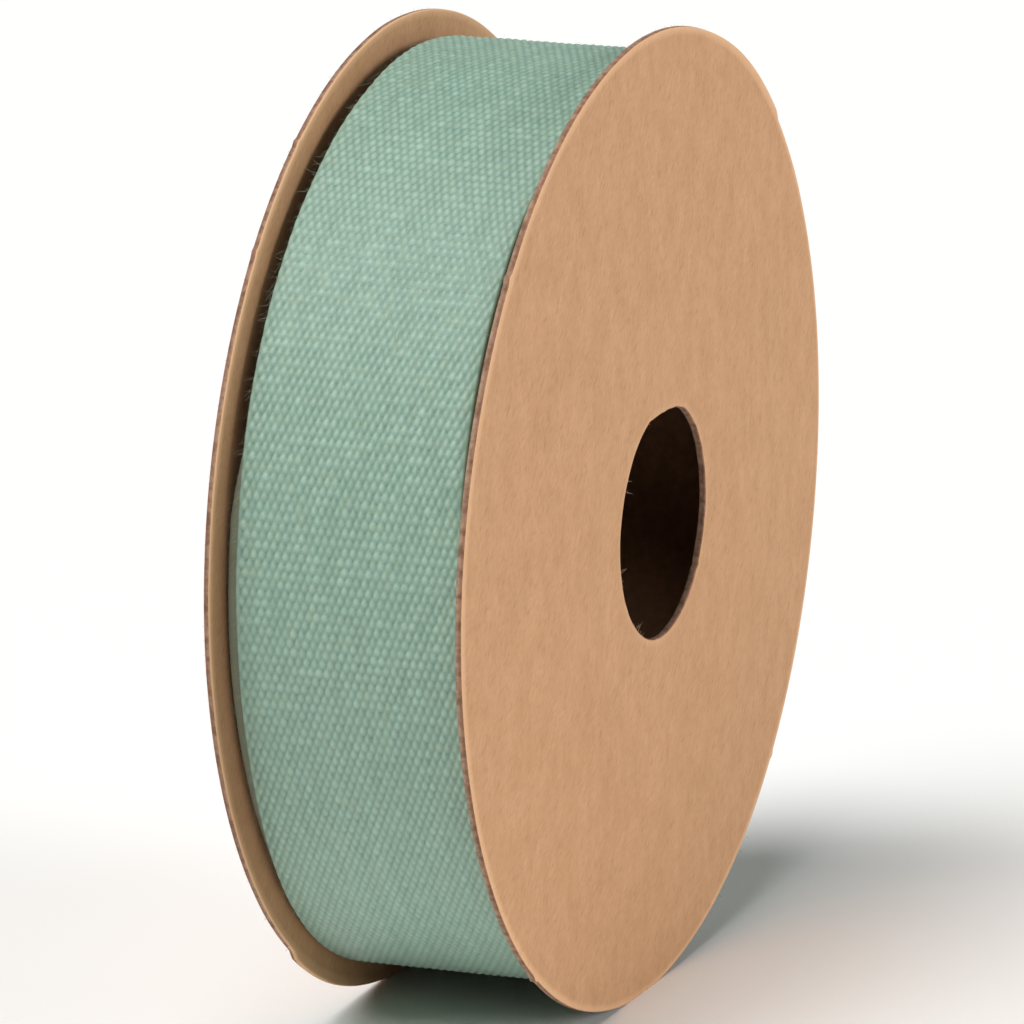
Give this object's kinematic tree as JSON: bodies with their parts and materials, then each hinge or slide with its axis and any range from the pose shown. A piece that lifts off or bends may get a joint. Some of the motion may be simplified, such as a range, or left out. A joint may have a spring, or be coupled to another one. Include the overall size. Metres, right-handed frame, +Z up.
{
  "type": "roll of cotton ribbon",
  "caption": "Roll of woven cotton ribbon on a round kraft board reel with a centre hole, standing on its rims.",
  "frame": {"origin": "on the table, midway between the two discs and under the reel's axis", "axes": "+X along the reel's axis, out of the disc with the open hole in view; +Z up; the front of the wound ribbon faces -Y"},
  "size_m": [0.0318, 0.105, 0.1048],
  "materials": {
    "kraft_board": "matte",
    "kraft_tube": "matte",
    "cotton_ribbon": "matte"
  },
  "bodies": {
    "root": {"flange_right": "kraft_board", "flange_left": "kraft_board", "core_tube": "kraft_tube", "ribbon_roll": "cotton_ribbon"}
  },
  "joints": []
}
